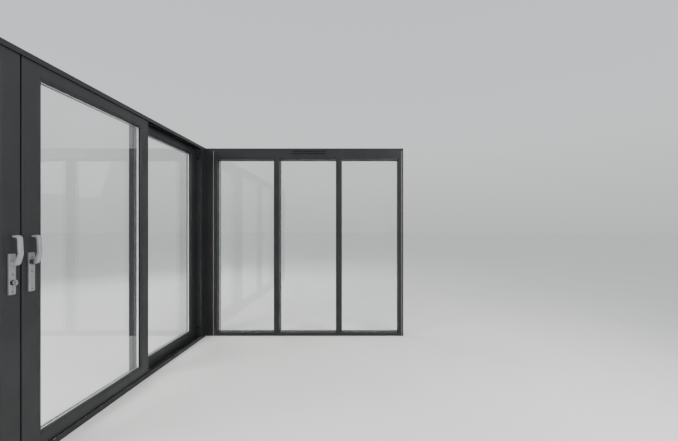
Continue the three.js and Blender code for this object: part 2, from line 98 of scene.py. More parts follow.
def set_camera():
    camera = bpy.data.cameras.new("camera")
    camera.sensor_width = SENSOR
    camera.lens = FOCAL_PIXELS / PHOTO_WIDTH * SENSOR
    camera.shift_x = (PHOTO_WIDTH / 2 - VANISHING_PIXEL[0]) / PHOTO_WIDTH
    camera.shift_y = (VANISHING_PIXEL[1] - PHOTO_HEIGHT / 2) / PHOTO_WIDTH
    camera.clip_start = NEAREST * MM
    camera.clip_end = FARTHEST * MM
    eye = bpy.data.objects.new("camera", camera)
    eye.location = Vector(EYE) * MM
    eye.rotation_euler = (math.pi / 2, 0, 0)
    bpy.context.scene.collection.objects.link(eye)
    bpy.context.scene.camera = eye


# Shaping by hand: one object selected at a time, and faces or edges picked by their place


def select_only(*pieces):
    if bpy.context.object and bpy.context.object.mode == "EDIT":
        bpy.ops.object.mode_set(mode="OBJECT")
    bpy.ops.object.select_all(action="DESELECT")
    for piece in pieces:
        piece.select_set(True)
    if pieces:
        bpy.context.view_layer.objects.active = pieces[0]


def settle(name):
    """Names the new object and moves its place into its mesh."""
    bpy.ops.object.transform_apply()
    piece = bpy.context.object
    piece.name = name
    piece.data.name = name
    return piece


def block(name, corner, opposite):
    """A box between two opposite corners, whichever of them is the lower one."""
    select_only()
    corner, opposite = Vector(corner), Vector(opposite)
    bpy.ops.mesh.primitive_cube_add(size=1, location=(corner + opposite) / 2 * MM,
                                    scale=[abs(side) * MM for side in opposite - corner])
    return settle(name)


TURNED = ((0, math.pi / 2, 0), (-math.pi / 2, 0, 0), (0, 0, 0))      # along X, Y, Z


def rod(name, centre, radius, length, axis, sides=32):
    select_only()
    bpy.ops.mesh.primitive_cylinder_add(
        vertices=sides, radius=radius * MM, depth=length * MM,
        location=Vector(centre) * MM, rotation=TURNED[axis])
    return settle(name)


def facing(axis, way, where=lambda at: True):
    """A test for faces that look this way along an axis. where tests their middle too."""
    return lambda at, line: line[axis] * way > SQUARE and where(at)


def along(axis):
    """A test for edges that run along an axis, or faces square to it."""
    return lambda at, line: abs(line[axis]) > SQUARE


def anywhere(at, line):
    """A test that everything passes."""
    return True


def pick(piece, kind, test):
    """In edit mode, selects only the faces or edges that pass the test. It is given the
    middle, in mm, and a face's normal or an edge's direction."""
    if bpy.context.object != piece or piece.mode != "EDIT":
        select_only(piece)
        bpy.ops.object.mode_set(mode="EDIT")
    bpy.ops.mesh.select_mode(type=kind)
    bpy.ops.mesh.select_all(action="DESELECT")
    mesh = bmesh.from_edit_mesh(piece.data)
    chosen = []
    for item in mesh.faces if kind == "FACE" else mesh.edges:
        corners = [corner.co for corner in item.verts]
        middle = sum(corners, Vector()) / len(corners) / MM
        line = item.normal if kind == "FACE" else (corners[1] - corners[0]).normalized()
        if test(middle, line):
            chosen.append(item)
    for item in chosen:
        item.select_set(True)
    bmesh.update_edit_mesh(piece.data)
    return len(chosen)


def slice_at(piece, axis, *places):
    """Adds edges round the piece at these places along an axis."""
    for at in places:
        pick(piece, "FACE", anywhere)
        point, normal = Vector(), Vector()
        point[axis], normal[axis] = at * MM, 1
        bpy.ops.mesh.bisect(plane_co=point, plane_no=normal)


def extrude(*move):
    """Extrudes the picked faces by a move in mm."""
    bpy.ops.mesh.extrude_region_move(TRANSFORM_OT_translate={"value": Vector(move) * MM})


def draw_out(piece, move, test):
    """Extrudes the faces that pass the test."""
    pick(piece, "FACE", test)
    extrude(*move)


def inset(width, depth=0, each=False):
    """Insets the picked faces, as one or each by itself, and moves them along their normals."""
    bpy.ops.mesh.inset(thickness=width * MM, depth=depth * MM, use_individual=each)


def shift_edges(piece, move, test):
    pick(piece, "EDGE", test)
    bpy.ops.transform.translate(value=Vector(move) * MM)


def round_edges(piece, width, segments, test):
    if pick(piece, "EDGE", test):
        bpy.ops.mesh.bevel(offset=width * MM, segments=segments, affect="EDGES")


def finish_with(piece, kind, **settings):
    """Adds a modifier with its settings and applies it."""
    select_only(piece)
    change = piece.modifiers.new("change", kind)
    for name, value in settings.items():
        setattr(change, name, value)
    bpy.ops.object.modifier_apply(modifier=change.name)


def round_all(piece, width, segments=2):
    """Rounds every sharp edge."""
    finish_with(piece, "BEVEL", width=width * MM, segments=segments, limit_method="ANGLE",
                angle_limit=SHARP)


def repeat(piece, count, pitch, shared):
    """A row of copies along X that run into each other. The faces where they meet, which pass
    the test, are left out, and the row's two ends are closed."""
    pick(piece, "FACE", shared)
    bpy.ops.mesh.delete(type="FACE")
    finish_with(piece, "ARRAY", count=count, use_relative_offset=False,
                use_constant_offset=True, constant_offset_displace=(pitch * MM, 0, 0),
                use_merge_vertices=True, merge_threshold=MERGE * MM)
    pick(piece, "EDGE", anywhere)
    bpy.ops.mesh.fill_holes(sides=4)


def carve(piece, *cutters):
    """Cuts the shapes out of the piece."""
    for cutter in cutters:
        finish_with(piece, "BOOLEAN", operation="DIFFERENCE", object=cutter, solver="EXACT")
        bpy.data.objects.remove(cutter)


def copies(name, model, places, towards=(0, 0, 1)):
    """Copies of a model that faces +Z, turned to face another way, joined as one piece."""
    turn = Vector((0, 0, 1)).rotation_difference(Vector(towards)).to_euler()
    made = []
    for spot in places:
        select_only(model)
        bpy.ops.object.duplicate()
        one = bpy.context.object
        one.rotation_euler = turn
        one.location = Vector(spot) * MM
        bpy.ops.object.transform_apply()
        made.append(one)
    select_only(*made)
    if len(made) > 1:
        bpy.ops.object.join()
    return settle(name)


def ring(name, low, high, axis, width):
    """A flat frame with a rectangular opening: both large faces inset, and bridged through."""
    piece = block(name, low, high)
    pick(piece, "FACE", along(axis))
    inset(width, each=True)
    bpy.ops.mesh.bridge_edge_loops()
    return piece


def place(piece, finish, body="frame", smooth=30, replaces=()):
    """Gives the finished shape its material and its body. smooth is the angle, in degrees, up
    to which an edge is shaded soft."""
    slot, material = finish
    pick(piece, "EDGE", anywhere)
    bpy.ops.mesh.dissolve_degenerate(threshold=MERGE * MM)
    select_only(piece)
    bpy.ops.object.shade_smooth_by_angle(angle=math.radians(smooth))
    select_only()
    piece.data.materials.clear()
    piece.data.materials.append(material)
    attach(piece, body)
    if replaces:
        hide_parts(*replaces)


# Materials. Patterns are on object coordinates, with their sizes in mm.


def linear(hex_colour):
    """sRGB hex to Blender's linear colour."""
    channels = [int(hex_colour[n:n + 2], 16) / 255 for n in (1, 3, 5)]
    return (*[c / 12.92 if c <= 0.04045 else ((c + 0.055) / 1.055) ** 2.4
              for c in channels], 1)


def cells(at, size, detail):
    """The inputs of a noise at these coordinates, its cells this many mm wide."""
    return {"Vector": at, "Scale": 1 / (size * MM), "Detail": detail}


def fill(tree, made, inputs):
    """Gives a node's inputs their values or links."""
    for name, value in inputs.items():
        if isinstance(value, bpy.types.NodeSocket):
            tree.links.new(value, made.inputs[name])
        else:
            made.inputs[name].default_value = value


def node(tree, kind, inputs, out=0, stops=(), **settings):
    """Adds a node with its settings and links, and gives one of its outputs. A ramp's stops
    are places with colours."""
    made = tree.nodes.new("ShaderNode" + kind)
    for name, value in settings.items():
        setattr(made, name, value)
    for number, (at, colour) in enumerate(stops):
        if number == len(made.color_ramp.elements):
            made.color_ramp.elements.new(at)
        made.color_ramp.elements[number].position = at
        made.color_ramp.elements[number].color = linear(colour)
    fill(tree, made, inputs)
    return made.outputs[out]


SPREAD = {"From Min": 0.3, "From Max": 0.7}       # where most of a noise's values lie


def coated(name, recipe, *tones, **settings):
    """A material, whose one shader is set by a recipe that is given its object coordinates."""
    material = bpy.data.materials.new(name)
    material.use_nodes = True
    tree = material.node_tree
    recipe(tree, node(tree, "TexCoord", {}, "Object"), *tones, **settings)
    return material


def shade(tree, tone, **inputs):
    """Sets the Principled shader. Values that are the same all over are set on its sockets."""
    inputs = {socket.replace("_", " "): value for socket, value in inputs.items()}
    fill(tree, tree.nodes["Principled BSDF"], {"Base Color": tone, **inputs})


def mottled(tree, at, size, detail, *tones, ends=(0.3, 0.7)):
    """Soft patches this many mm wide, and the colour that runs between two tones over them."""
    patches = node(tree, "TexNoise", cells(at, size, detail))
    return patches, node(tree, "ValToRGB", {"Fac": patches}, stops=tuple(zip(ends, tones)))


def uneven(tree, at, size, detail, depth):
    """The relief of bumps this many mm wide and deep."""
    bumps = node(tree, "TexNoise", cells(at, size, detail))
    return node(tree, "Bump", {"Height": bumps, "Distance": depth * MM})


def paler_on_top(tree, coat, patches, paler, most):
    """Patches of a paler tone on what faces up. most is how strong they are there."""
    normal = node(tree, "NewGeometry", {}, "Normal")
    up = node(tree, "SeparateXYZ", {"Vector": normal}, "Z")
    level = node(tree, "MapRange", {"Value": up, "From Min": 0.75, "To Max": most})
    paler_share = node(tree, "Math", {0: level, 1: patches}, operation="MULTIPLY")
    return node(tree, "Mix", {0: paler_share, 6: coat, 7: linear(paler)}, 2, data_type="RGBA")


def powder_coat(tree, at, *tones):
    """Polyester powder coat, sprayed dry and baked on extruded aluminium, satin. The eye sees an
    even dark grey with a broad soft sheen, a fine orange peel, hand marks that shine a little
    less, and paler patches on what faces up. The real peel is under 1 mm and is drawn at 2.5 mm."""
    coat = mottled(tree, at, 260, 3, *tones)[1]
    patches = node(tree, "TexNoise", cells(at, 90, 3))
    coat_paler_on_top = paler_on_top(tree, coat, patches, "#74726d", 0.45)
    marks = node(tree, "TexNoise", cells(at, 70, 5))
    sheen = node(tree, "MapRange", {"Value": marks, **SPREAD, "To Min": 0.34, "To Max": 0.46})
    peel = uneven(tree, at, 2.5, 2, 0.08)
    shade(tree, coat_paler_on_top, Roughness=sheen, Normal=peel, IOR=1.5, Specular_IOR_Level=0.32)


RUBBED_Z = (28, 30.5)     # a sill's rubbed edges start and end at these heights


def trodden_coat(tree, at, *tones):
    """The same powder coat on a threshold. Feet rub its raised edges, so the eye sees short
    scuffs of bare aluminium along them, and grit on the flats between."""
    coat = mottled(tree, at, 260, 3, *tones)[1]
    specks = node(tree, "TexNoise", cells(at, 6, 5))
    patches = node(tree, "MapRange", {
        "Value": specks, "From Min": 0.45, "From Max": 0.72, "To Max": 0.3})
    gritty = paler_on_top(tree, coat, patches, "#66635e", 1)
    height = node(tree, "SeparateXYZ", {"Vector": at}, "Z")
    raised = node(tree, "MapRange", {
        "Value": height, "From Min": RUBBED_Z[0] * MM, "From Max": RUBBED_Z[1] * MM})
    drawn = node(tree, "Mapping", {"Vector": at, "Scale": (0.3, 0.3, 1)})
    strokes = node(tree, "TexNoise", cells(drawn, 5, 6))
    sparse = node(tree, "MapRange", {"Value": strokes, "From Min": 0.64, "From Max": 0.68})
    bare = node(tree, "Math", {0: raised, 1: sparse}, operation="MULTIPLY")
    colours = node(tree, "Mix", {0: bare, 6: gritty, 7: linear("#a9abad")}, 2, data_type="RGBA")
    marks = node(tree, "TexNoise", cells(at, 40, 5))
    sheen = node(tree, "MapRange", {"Value": marks, **SPREAD, "To Min": 0.38, "To Max": 0.55})
    peel = uneven(tree, at, 2.5, 2, 0.05)
    shade(tree, colours, Metallic=bare, Roughness=sheen, Normal=peel, IOR=1.5,
          Specular_IOR_Level=0.32)


def float_glass(tree, at):
    """Toughened soda-lime float glass. The eye sees clean mirror images with a slight roller
    wave about 300 mm long, faint wiping smears, and a trace of green from iron."""
    tint = mottled(tree, at, 500, 1, "#fdfefe", "#fafcfb")[1]
    wiped = node(tree, "Mapping", {"Vector": at, "Scale": (1, 1, 0.3)})
    smears = node(tree, "TexNoise", cells(wiped, 160, 5))
    haze = node(tree, "MapRange", {
        "Value": smears, "From Min": 0.5, "From Max": 0.75, "To Max": 0.035})
    wave = uneven(tree, at, 300, 0, 0.05)
    shade(tree, tint, Roughness=haze, Normal=wave, IOR=1.52, Transmission_Weight=1)


GRAIN_LENGTH = 30         # how many times longer than wide a brushed scratch is


def drawn_out(axis, length):
    """The scale of a pattern whose marks are this many times longer along one axis."""
    scale = [1, 1, 1]
    scale[axis] = 1 / length
    return scale


def brushed_metal(tree, at, *tones, grain_axis, rough):
    """Metal brushed one way: stainless steel, brass that is then plated with nickel, or steel
    that has gone brown. The eye sees grey whose highlight is drawn out across fine scratches.
    They are 0.1 mm apart, and are drawn at 0.6 mm."""
    grain = node(tree, "Mapping", {"Vector": at, "Scale": drawn_out(grain_axis, GRAIN_LENGTH)})
    scratches = node(tree, "TexNoise", cells(grain, 0.6, 2))
    tone = mottled(tree, at, 25, 4, *tones)[1]
    sheen = node(tree, "MapRange", {
        "Value": scratches, **SPREAD, "To Min": rough[0], "To Max": rough[1]})
    relief = node(tree, "Bump", {"Height": scratches, "Distance": 0.012 * MM})
    shade(tree, tone, Roughness=sheen, Normal=relief, Metallic=1)


def silver_lacquer(tree, at, *tones, flake_share, rough):
    """Zinc die casting sprayed with silver lacquer, satin. The eye sees a flat pale grey from
    aluminium flakes under a clear skin, with a soft highlight, a fine sparkle, and dull
    fingermarks. The flakes are 0.05 mm wide, and are drawn at 0.5 mm."""
    tone = mottled(tree, at, 22, 4, *tones)[1]
    flakes = node(tree, "TexVoronoi", cells(at, 0.5, 0), "Color")
    turned = node(tree, "SeparateXYZ", {"Vector": flakes}, "X")
    sparkle = node(tree, "MapRange", {"Value": turned, "To Min": rough[0], "To Max": rough[1]})
    peel = uneven(tree, at, 2, 2, 0.03)
    shade(tree, tone, Roughness=sparkle, Normal=peel, Metallic=flake_share, IOR=1.5,
          Coat_Weight=0.25, Coat_Roughness=0.35)


def anodised_strip(tree, at):
    """Bright anodised aluminium strip, rolled to a box, for spacer bars. The eye sees a silver
    white that mirrors softly, with faint rolling streaks, and breathing holes 2 mm apart."""
    streaks, tone = mottled(tree, at, 10, 3, "#fafbfb", "#eff1f2")
    sheen = node(tree, "MapRange", {"Value": streaks, "To Min": 0.16, "To Max": 0.34})
    pores = node(tree, "TexVoronoi", cells(at, 2.2, 0), "Distance")
    holes = node(tree, "MapRange", {"Value": pores, "From Min": 0.1, "From Max": 0.3})
    relief = node(tree, "Bump", {"Height": holes, "Distance": 0.04 * MM})
    shade(tree, tone, Roughness=sheen, Normal=relief, Metallic=0.85)


def black_rubber(tree, at, *tones):
    """EPDM rubber, extruded and cured, or the glass units' polysulphide, gunned in and cured.
    The eye sees a flat black with a faint dusty bloom."""
    bloom, tone = mottled(tree, at, 18, 5, *tones, ends=(0.45, 0.75))
    sheen = node(tree, "MapRange", {"Value": bloom, **SPREAD, "To Min": 0.6, "To Max": 0.82})
    skin = uneven(tree, at, 1.5, 2, 0.06)
    shade(tree, tone, Roughness=sheen, Normal=skin, IOR=1.48, Specular_IOR_Level=0.12)


PILE_LENGTH = 12          # how many times longer than wide a clump of pile is


def brush_pile(tree, at, pile_axis):
    """Woven polypropylene pile, siliconed, for weather brushes. The eye sees dark fibres that
    stand in clumps. A fibre is 0.05 mm thick, and clumps are drawn 1 mm wide."""
    upright = node(tree, "Mapping", {"Vector": at, "Scale": drawn_out(pile_axis, PILE_LENGTH)})
    fibres, tone = mottled(tree, upright, 1, 3, "#08080a", "#1b1c1d", ends=(0.35, 0.65))
    relief = node(tree, "Bump", {"Height": fibres, "Distance": 0.5 * MM})
    shade(tree, tone, Normal=relief, IOR=1.49, Roughness=0.95, Specular_IOR_Level=0.1)


def moulded_nylon(tree, at, *tones):
    """Glass-filled nylon, injection moulded. The eye sees a low sheen with a fine spark-eroded
    grain, drawn at 1 mm."""
    flow, tone = mottled(tree, at, 12, 4, *tones)
    sheen = node(tree, "MapRange", {"Value": flow, **SPREAD, "To Min": 0.42, "To Max": 0.58})
    grain = uneven(tree, at, 1, 2, 0.05)
    shade(tree, tone, Roughness=sheen, Normal=grain, IOR=1.53, Specular_IOR_Level=0.25)


def painted_highlight_bead(tree, at):
    """A pale warm mid grey bead down each end jamb, a painted highlight on the dark frame. The
    eye sees a soft sheen and slow ripples along it."""
    bead_mottle, tone = mottled(tree, at, 60, 5, "#8c8580", "#756e69")
    sheen = node(tree, "MapRange", {"Value": bead_mottle, "To Min": 0.3, "To Max": 0.5})
    drawn = node(tree, "Mapping", {"Vector": at, "Scale": (1, 1, 0.2)})
    ripples = uneven(tree, drawn, 4, 1, 0.2)
    shade(tree, tone, Roughness=sheen, Normal=ripples, IOR=1.41)


def pale_floor(tree, at):
    """Sealed screed, trowelled. The eye sees an even pale ground with faint clouds."""
    clouds, tone = mottled(tree, at, 900, 4, "#e7e5e2", "#e2e0dd")
    sheen = node(tree, "MapRange", {"Value": clouds, "To Min": 0.55, "To Max": 0.7})
    shade(tree, tone, Roughness=sheen, IOR=1.5)


# Finishes: the slot that a piece goes in, and its material

FRAME_COAT = "frame_paint", coated("powder_coat_frame", powder_coat, "#1e1f20", "#242425")
SASH_COAT = "sash_paint", coated("powder_coat_sash", powder_coat, "#222324", "#28292a")
SILL_COAT = "frame_paint", coated("powder_coat_trodden", trodden_coat, "#1e1f20", "#242425")
GLASS = "glass", coated("float_glass", float_glass)
SPACER_METAL = "satin_metal", coated("bright_anodised_strip", anodised_strip)
GASKET_RUBBER = "sash_paint", coated("epdm_rubber", black_rubber, "#050506", "#0e0f10")
BUFFER_RUBBER = "vent_plastic", GASKET_RUBBER[1]
# The meeting seals' rubber, blacker than rubber is: painted shade deep in the gap between the
# leaves.
SHADE_SEAL_RUBBER = "vent_plastic", coated("seal_rubber_painted_shade", black_rubber, "#030303", "#060607")
SEALANT = "glass", coated("polysulphide_sealant", black_rubber, "#0a0a0b", "#141516")
SILVER = "satin_metal", coated(
    "silver_lacquer", silver_lacquer, "#959698", "#888a8c", flake_share=0.35, rough=(0.42, 0.6))
DULL_SILVER = "satin_metal", coated(
    "silver_lacquer_dull", silver_lacquer, "#949597", "#888a8c", flake_share=0.7,
    rough=(0.34, 0.5))
STEEL = "satin_metal", coated(
    "stainless_steel", brushed_metal, "#c9c9c7", "#b3b3b1", grain_axis=1, rough=(0.2, 0.34))
NICKEL = "satin_metal", coated(
    "nickel_plated_brass", brushed_metal, "#b8b6b0", "#9e9c96", grain_axis=0, rough=(0.2, 0.34))
OXIDISED = "satin_metal", coated(
    "oxidised_steel", brushed_metal, "#75706d", "#5a5654", grain_axis=2, rough=(0.35, 0.5))
PILE = "vent_plastic", coated("polypropylene_pile", brush_pile, pile_axis=0)
NYLON = "vent_plastic", coated("moulded_black_nylon", moulded_nylon, "#09090a", "#101011")
VENT_NYLON = "vent_plastic", coated("moulded_grey_nylon", moulded_nylon, "#1e1f20", "#252627")
# Slate nylon of leaf B's block under the boss and of its thick collar: painted shade under B's
# boss.
SHADE_BLOCK_NYLON = "vent_plastic", coated("slate_nylon_painted_shade", moulded_nylon, "#2b2c2d", "#353637")
# A pale bead down each end jamb, 18 mm in from its outer edge, is a painted highlight.
HIGHLIGHT_BEAD = "vent_plastic", coated("painted_highlight_bead", painted_highlight_bead)


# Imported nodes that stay: their faces merged, their edges rounded, and their coat

NODE_MERGE = 0.02
NODE_FLAT = math.radians(1)
NODE_SHARP = math.radians(25)
NODE_ROUNDING = 0.6


def dress_node(name, material):
    piece = frame["nodes"][name]
    piece.data.materials.clear()
    piece.data.materials.append(material)
    weld = piece.modifiers.new("weld", "WELD")
    weld.merge_threshold = NODE_MERGE * MM
    flat = piece.modifiers.new("flat", "DECIMATE")
    flat.decimate_type = "DISSOLVE"
    flat.angle_limit = NODE_FLAT
    edge = piece.modifiers.new("edge", "BEVEL")
    edge.width = NODE_ROUNDING * MM
    edge.segments = 2
    edge.limit_method = "ANGLE"
    edge.angle_limit = NODE_SHARP
    edge.harden_normals = True


def dress_frame():
    coats = dict((FRAME_COAT, SASH_COAT, VENT_NYLON, SILVER, GLASS))
    for part in frame["record"]["subparts"]:
        dress_node(part["node"], coats[part["material_slot"]])
    for name in ("side_sill", "end_sill"):
        frame["nodes"][name].data.materials[0] = SILL_COAT[1]


# Glass units: two panes, a spacer bar and its black edge seal, and a gasket on each side

PANE = 6
CAVITY = 16
ARRIS = 0.8
SPACER = Sizes(height=7, back=1, round=0.8)     # back is from the opening's edge
SEAL_EDGE = 0.5           # glass's edge to the edge seal
REBATE = 11.7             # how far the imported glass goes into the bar
GASKET = Sizes(lip=1.4, round=0.65)             # lip is what shows in the opening
SIDE_GASKETS = (6, 7)     # how far the room's and the outer gasket stand out from the glass
END_GASKETS = (9, 8)


def glass_unit(name, node_name, body, gaskets):
    low, high = extent(node_name)
    axis = 0 if high[0] - low[0] < high[1] - low[1] else 1
    room = 1 if axis == 0 else -1
    middle = (low[axis] + high[axis]) / 2

    def layer(start, end, inside):
        """Corners of a layer between two distances from the middle towards the room, and
        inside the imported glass's edge."""
        corner_low, corner_high = [Vector((n + inside * side for n in corner))
                                   for corner, side in ((low, 1), (high, -1))]
        corner_low[axis], corner_high[axis] = middle + room * start, middle + room * end
        return corner_low, corner_high

    half = CAVITY / 2
    for side, start in (("inside", half), ("outside", -half - PANE)):
        pane = block(f"{name}_pane_{side}", *layer(start, start + PANE, 0))
        round_edges(pane, ARRIS, 1, anywhere)
        place(pane, GLASS, body, replaces=[node_name])
        pane.visible_shadow = False
    inside = REBATE - SPACER.back - SPACER.height
    bar = ring(f"{name}_spacer", *layer(-half + FIT, half - FIT, inside), axis, SPACER.height)
    round_all(bar, SPACER.round)
    place(bar, SPACER_METAL, body)
    seal = ring(f"{name}_seal", *layer(-half + FIT, half - FIT, SEAL_EDGE), axis,
                inside - SEAL_EDGE - FIT)
    place(seal, SEALANT, body)
    face = half + PANE
    for side, start, end in (("room", face + FIT, face + gaskets[0]),
                             ("outer", -face - gaskets[1], -face - FIT)):
        gasket = ring(f"{name}_gasket_{side}", *layer(start, end, REBATE + FIT), axis,
                      GASKET.lip)
        front = middle + room * (end if side == "room" else start)
        round_edges(gasket, GASKET.round, 3, lambda at, line: abs(at[axis] - front) < MERGE)
        place(gasket, GASKET_RUBBER, body, smooth=50)


def glaze():
    for name, body in (("near_panel", "frame"), ("far_panel", "frame"),
                       ("leaf_a", "leaf_a"), ("leaf_b", "leaf_b")):
        glass_unit(f"{name}_unit", f"{name}_glass", body, SIDE_GASKETS)
    for number in (1, 2, 3):
        glass_unit(f"end_light_{number}", f"end_glass_{number}", "frame", END_GASKETS)


# Small models that are copied: each faces +Z

SCREW = Sizes(height=1.4, round=0.5, arm=1.9, slot=0.45, deep=1)
CAP = Sizes(radius=6.5, height=1, rim=1.4, dome=0.4, dish=3.2, dimple=0.5, round=0.25)


def screw_model(radius):
    """A countersunk head with a cross recess."""
    head = rod("screw", (0, 0, -SCREW.height / 2), radius, SCREW.height, 2, 28)
    round_edges(head, SCREW.round, 2, lambda at, line: at.z > -MERGE)
    arm, slot, deep = SCREW.arm, SCREW.slot, SCREW.deep
    for size in ((arm, slot, deep), (slot, arm, deep)):
        carve(head, block("slot", [-n for n in size], size))
    return head


def cap_model():
    """A pressed-in nylon cap: a low dome with a dimple for the screwdriver that lifts it."""
    cap = rod("cap", (0, 0, CAP.height / 2), CAP.radius, CAP.height, 2)
    pick(cap, "FACE", facing(2, 1))
    inset(CAP.rim, CAP.dome)
    inset(CAP.dish, -CAP.dimple)
    round_all(cap, CAP.round)
    return cap


# Handles: plate with a spindle boss, collar, lever, screws, and the thumbturn on leaf A

SPINDLE_Z = 1041
NEARER = {"leaf_a": 1.1, "leaf_b": 2.2}         # the photo's handles, towards the near jamb
LEVER_NECK = 17
LEVER_STUB = 1            # the neck's first piece, which the rest is drawn out of
LEVER_CORNERS = ((10.4, 0), (34.4, 0), (50.7, 48), (46, 136.5), (15.6, 136.3))
LEVER_BENDS = (14, 24, 13.5)
LEVER_THICKNESS = (17, 17, 13, 12.2, 8)
LEVER_ROUNDING = 3.9
LEVER_WIDTH = 17
TURN_STEP = math.radians(9)
BEND_SHARE = 0.12         # part of the way to the next corner that a bend's half takes
NO_TURN = 1e-5


def handle_y(leaf):
    """The middle of a handle along Y."""
    low, high = extent(f"{leaf}_handle_plate")
    return (low.y + high.y) / 2 - NEARER[leaf]


def rounded_route(corners, radii):
    """Stations along straight runs that meet in arcs. Each holds its place, its heading, and
    how far along the corners it is."""
    points = [Vector(corner) for corner in corners]
    runs = [b - a for a, b in zip(points, points[1:])]
    headings = [math.atan2(run.y, run.x) for run in runs]
    stations = [(points[0], headings[0], 0)]
    for number, radius in enumerate(radii, 1):
        start_heading, end_heading = headings[number - 1], headings[number]
        turn = (end_heading - start_heading + math.pi) % (2 * math.pi) - math.pi
        reach = radius * math.tan(abs(turn) / 2)
        side = math.copysign(1, turn)
        start = points[number] - runs[number - 1].normalized() * reach
        normal = Vector((-math.sin(start_heading), math.cos(start_heading))) * side
        centre = start + normal * radius
        steps = math.ceil(abs(turn) / TURN_STEP)
        for step in range(steps + 1):
            heading = start_heading + turn * step / steps
            out = Vector((math.sin(heading), -math.cos(heading))) * side * radius
            share = number + BEND_SHARE * (2 * step / steps - 1)
            stations.append((centre + out, heading, share))
    stations.append((points[-1], headings[-1], len(points) - 1))
    return stations


def thickness_at(share):
    """Thickness between the lever's corners."""
    before = min(int(share), len(LEVER_THICKNESS) - 2)
    part = share - before
    return LEVER_THICKNESS[before] * (1 - part) + LEVER_THICKNESS[before + 1] * part


def lever(leaf):
    """The neck's end face is drawn out along the route, turned and thinned at each station."""
    route = rounded_route(LEVER_CORNERS, LEVER_BENDS)
    start = route[0][0]
    middle = Vector((LEAF_FACE, handle_y(leaf), SPINDLE_Z))
    half = Vector((0, LEVER_WIDTH / 2, LEVER_NECK / 2))
    piece = block(f"{leaf}_lever_grip", middle - half + Vector((start.x, 0, 0)),
                  middle + half + Vector((start.x + LEVER_STUB, 0, 0)))
    pick(piece, "FACE", facing(0, 1))
    here = start + Vector((LEVER_STUB, 0))
    heading, thick = 0, LEVER_NECK
    for there, next_heading, share in route[1:]:
        move = there - here
        extrude(move.x, 0, move.y)
        centre = (middle + Vector((there.x, 0, there.y))) * MM
        if abs(next_heading - heading) > NO_TURN:
            bpy.ops.transform.rotate(value=next_heading - heading, orient_axis="Y",
                                     center_override=centre)
        ratio = thickness_at(share) / thick
        bpy.ops.transform.resize(value=(ratio, 1, ratio), center_override=centre)
        here, heading, thick = there, next_heading, thickness_at(share)
    round_all(piece, LEVER_ROUNDING, 4)
    place(piece, SILVER, leaf, smooth=40, replaces=[f"{leaf}_lever"])


# Each flat part of a handle: corner and edge are the width and the steps of the rounding of
# its corners and of its front's edges, and narrower is against the plate
PLATE = Sizes(thickness=10, width=31.4, narrower=0, corner=(4, 5), edge=(1.3, 3))
# A thin black nylon layer behind each plate, as handles have; its black edge is also painted
# shade along the plate's sides.
SHADE_SHIM = Sizes(thickness=2, narrower=0.4, corner=(4, 5), edge=())      # black, behind the plate
BOSS = Sizes(bottom=1056, top=1090, root=3, proud=1, narrower=1, corner=(3, 4), edge=(0.8, 3))
# A dark nylon block on leaf B's plate under the boss: painted shade where the lever's neck leaves
# the plate.
SHADE_BLOCK = Sizes(bottom=1034, top=1055.5, proud=2.5, narrower=1, corner=(2, 4), edge=(0.7, 3))
PLATE_FRONT = LEAF_FACE + PLATE.thickness
PLATE_SCREWS = {"leaf_a": (989, 903), "leaf_b": (992, 902, 1067)}
SINK = Sizes(radius=4.1, depth=3.2, screw_down=0.5)
COLLAR = Sizes(radius=11.5, rim=1.2, step=0.6, round=0.5)
# Leaf B's long dark collar is painted shade under its boss.
COLLAR_REACH = {"leaf_a": 2, "leaf_b": 16}      # out from the plate's face
TURN_Z = 949
TURN_RECESS = Sizes(radius=12.2, depth=5)
# The cup is black nylon lining the recess: painted shade behind the grip.
TURN_CUP = Sizes(out=-2.1, radius=12.1, length=0.6, round=0.2)
TURN_STEM = Sizes(out=4.7, radius=7.6, length=13.2, rim=1.2, step=1.5, round=0.8)
TURN_GRIP = Sizes(out=16.3, width=9, half_out=7, half_tall=13.5, rim=2.6, dish=1.2, round=1)


def handle_slab(leaf, part, back, front, bottom, top, shape):
    half = PLATE.width / 2 - shape.narrower
    middle_y = handle_y(leaf)
    slab = block(f"{leaf}_{part}", (back, middle_y - half, bottom), (front, middle_y + half, top))
    round_edges(slab, *shape.corner, along(0))
    if shape.edge:
        round_edges(slab, *shape.edge, lambda at, line: at.x > front - MERGE)
    return slab


